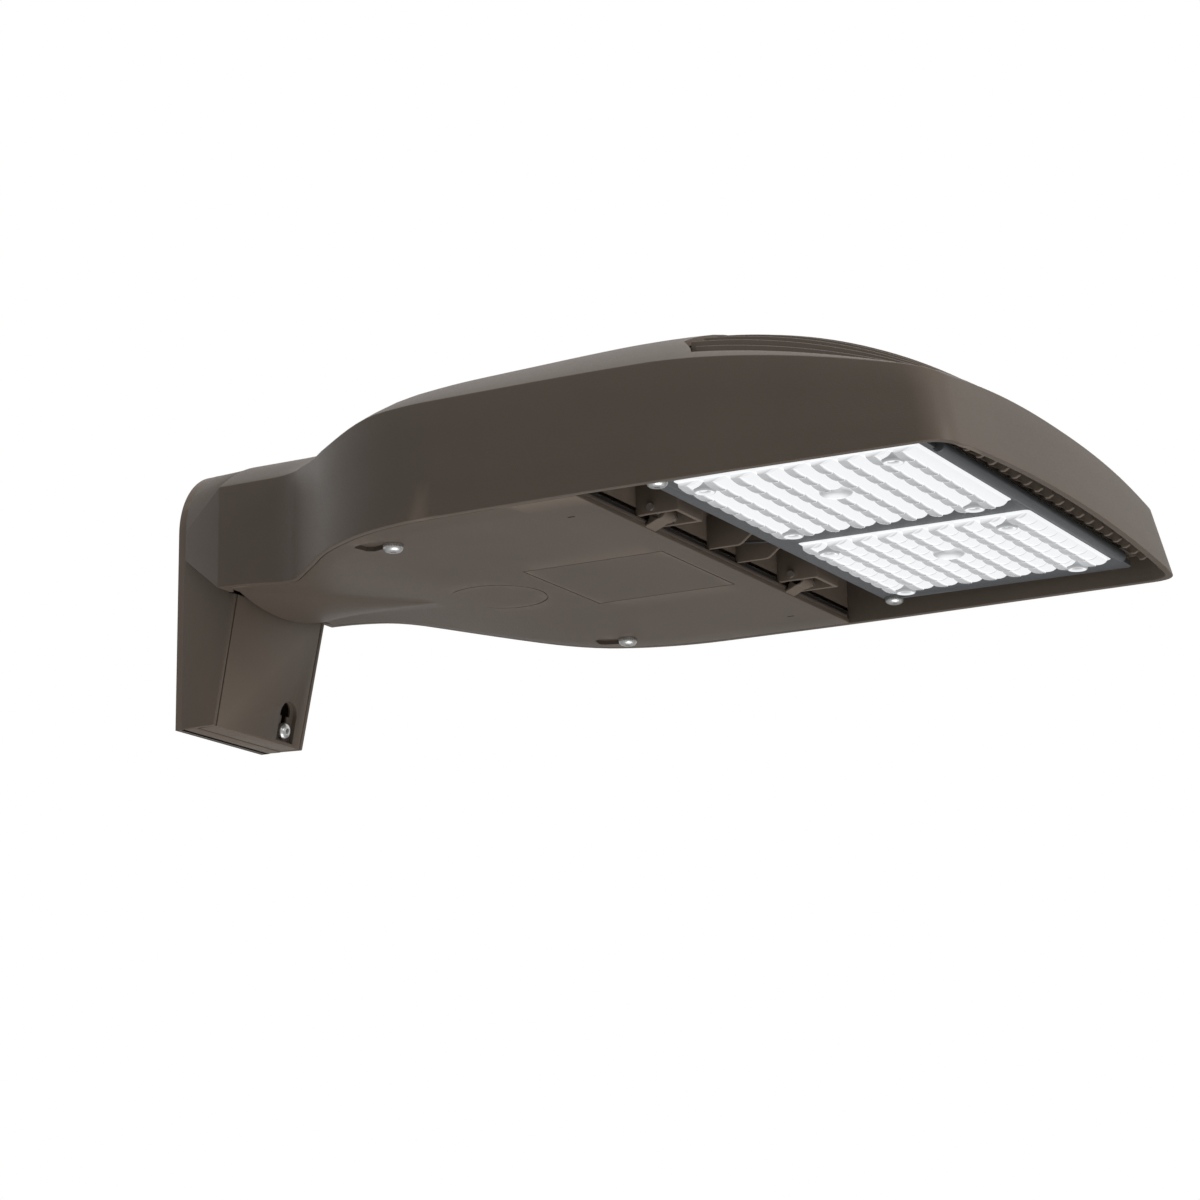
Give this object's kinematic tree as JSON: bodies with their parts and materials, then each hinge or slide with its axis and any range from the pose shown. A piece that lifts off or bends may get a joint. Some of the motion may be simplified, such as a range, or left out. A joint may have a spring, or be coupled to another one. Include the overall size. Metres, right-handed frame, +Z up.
{
  "type": "shoebox area light",
  "caption": "Pole-mounted shoebox area light: tapering cast housing on a wiring block, hinged gear door underneath and framed lens arrays at the nose.",
  "frame": {"origin": "centre of the two pole bolt holes, on the pole-side face of the wiring block; the underside of the door lies in the plane z = 0", "axes": "+X from the pole towards the nose, +Y across, +Z up"},
  "size_m": [0.547, 0.3412, 0.1768],
  "materials": {
    "bronze_coat": "fine-texture dark bronze powder coat",
    "stainless_steel": "satin",
    "green_steel": "green paint",
    "terminal_plastic": "matt moulded",
    "wire_insulation": "satin insulation",
    "black_rubber": "matt",
    "zinc_plated_steel": "zinc plate",
    "driver_case": "white coat",
    "surge_case": "matt moulded",
    "board_white": "white solder mask",
    "led_phosphor": "phosphor",
    "lens_acrylic": "clear, lit",
    "grey_coat": "blue-grey satin coat"
  },
  "bodies": {
    "fixture": {"housing": "bronze_coat", "gear_walls": "bronze_coat", "mounting_block": "bronze_coat", "arm_screws": "stainless_steel", "terminal_block": "terminal_plastic", "ground_screw": "green_steel", "supply_leads": "wire_insulation", "wire_grommet": "black_rubber", "driver_tray": "zinc_plated_steel", "tray_screws": "stainless_steel", "driver": "driver_case", "driver_screws": "stainless_steel", "surge_protector": "surge_case", "door_gasket": "black_rubber", "heat_sink": "bronze_coat", "sink_fins": "bronze_coat", "sink_screws": "stainless_steel", "led_board_near": "board_white", "led_board_far": "board_white", "leds_near": "led_phosphor", "leds_far": "led_phosphor", "optic_gasket_near": "black_rubber", "optic_gasket_far": "black_rubber", "optic_near": "lens_acrylic", "optic_far": "lens_acrylic", "optic_screws": "stainless_steel", "led_frame": "grey_coat", "frame_screws": "stainless_steel", "wire_channel": "bronze_coat", "led_leads": "wire_insulation", "hinge_bracket_near": "bronze_coat", "hinge_bracket_far": "bronze_coat", "hinge_pins": "stainless_steel", "cover_screw": "stainless_steel"},
    "gear_door": {"door": "bronze_coat", "door_screws": "stainless_steel"},
    "cover": {"block_cover": "bronze_coat"}
  },
  "joints": [
    {"name": "door_hinge", "type": "hinge", "parent": "fixture", "child": "gear_door", "pos_m": [0.346, 0, 0.0085], "axis": [0, -1, 0], "range_deg": [0, 90]},
    {"name": "cover_slide", "type": "slide", "parent": "fixture", "child": "cover", "axis": [-0.1876, 0, -0.9823], "range_m": [0, 0.012]}
  ]
}
